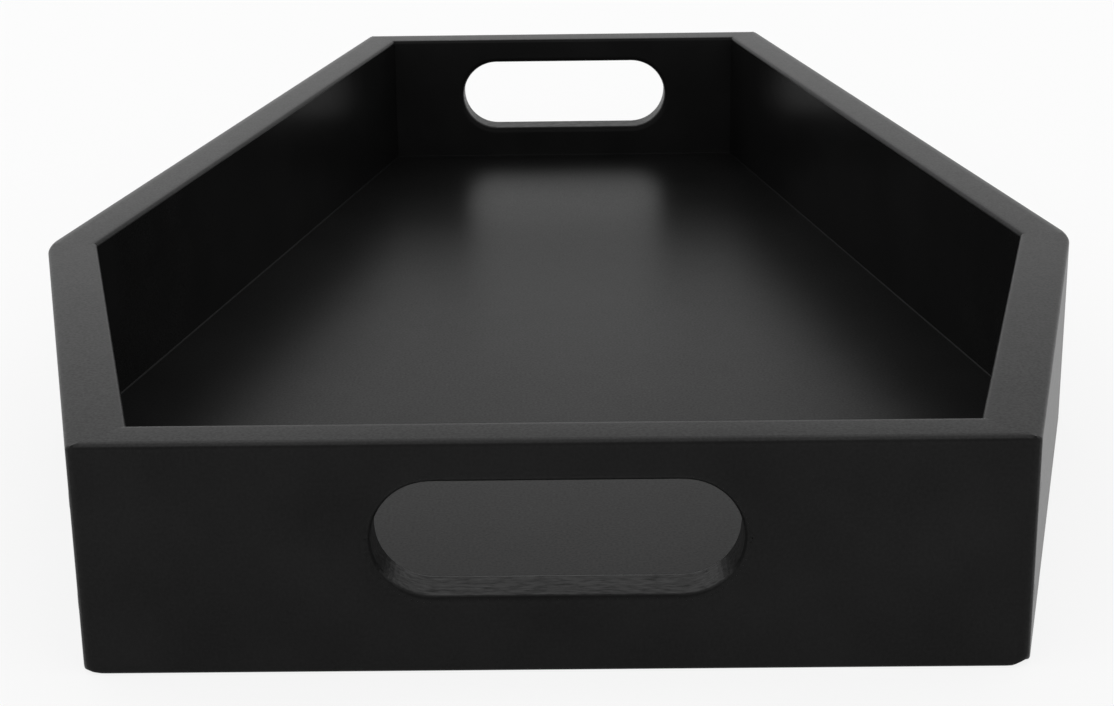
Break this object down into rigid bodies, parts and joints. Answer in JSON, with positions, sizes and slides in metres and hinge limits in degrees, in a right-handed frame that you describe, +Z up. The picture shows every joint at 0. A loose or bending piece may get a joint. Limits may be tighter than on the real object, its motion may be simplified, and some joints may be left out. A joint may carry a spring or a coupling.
{
  "type": "coffin-shaped tray",
  "caption": "Long coffin-shaped open tray of painted board, with upright mitred walls, a flat base panel and a rounded hand slot through each end board.",
  "frame": {"origin": "on the ground under the middle of the tray's length and width", "axes": "+Z up, +Y from the head end to the narrower foot end, +X to the right seen from the head end"},
  "size_m": [0.2678, 0.436, 0.0508],
  "materials": {
    "painted_board": "satin black paint on wood",
    "painted_panel": "smooth satin black paint on board",
    "beech": "bare wood",
    "steel": "bright drawn wire"
  },
  "bodies": {
    "root": {"head_board": "painted_board", "foot_board": "painted_board", "left_shoulder_board": "painted_board", "right_shoulder_board": "painted_board", "left_side_board": "painted_board", "right_side_board": "painted_board", "base_panel": "painted_panel", "head_to_left_shoulder_brad_1": "steel", "head_to_left_shoulder_brad_2": "steel", "head_to_right_shoulder_brad_1": "steel", "head_to_right_shoulder_brad_2": "steel", "foot_to_left_side_brad_1": "steel", "foot_to_left_side_brad_2": "steel", "foot_to_right_side_brad_1": "steel", "foot_to_right_side_brad_2": "steel", "left_shoulder_joint_dowel_1": "beech", "left_shoulder_joint_dowel_2": "beech", "right_shoulder_joint_dowel_1": "beech", "right_shoulder_joint_dowel_2": "beech", "head_base_pin_1": "steel", "head_base_pin_2": "steel", "right_shoulder_base_pin_1": "steel", "right_shoulder_base_pin_2": "steel", "right_shoulder_base_pin_3": "steel", "right_side_base_pin_1": "steel", "right_side_base_pin_2": "steel", "right_side_base_pin_3": "steel", "right_side_base_pin_4": "steel", "foot_base_pin_1": "steel", "foot_base_pin_2": "steel", "left_side_base_pin_1": "steel", "left_side_base_pin_2": "steel", "left_side_base_pin_3": "steel", "left_side_base_pin_4": "steel", "left_shoulder_base_pin_1": "steel", "left_shoulder_base_pin_2": "steel", "left_shoulder_base_pin_3": "steel"}
  },
  "joints": []
}
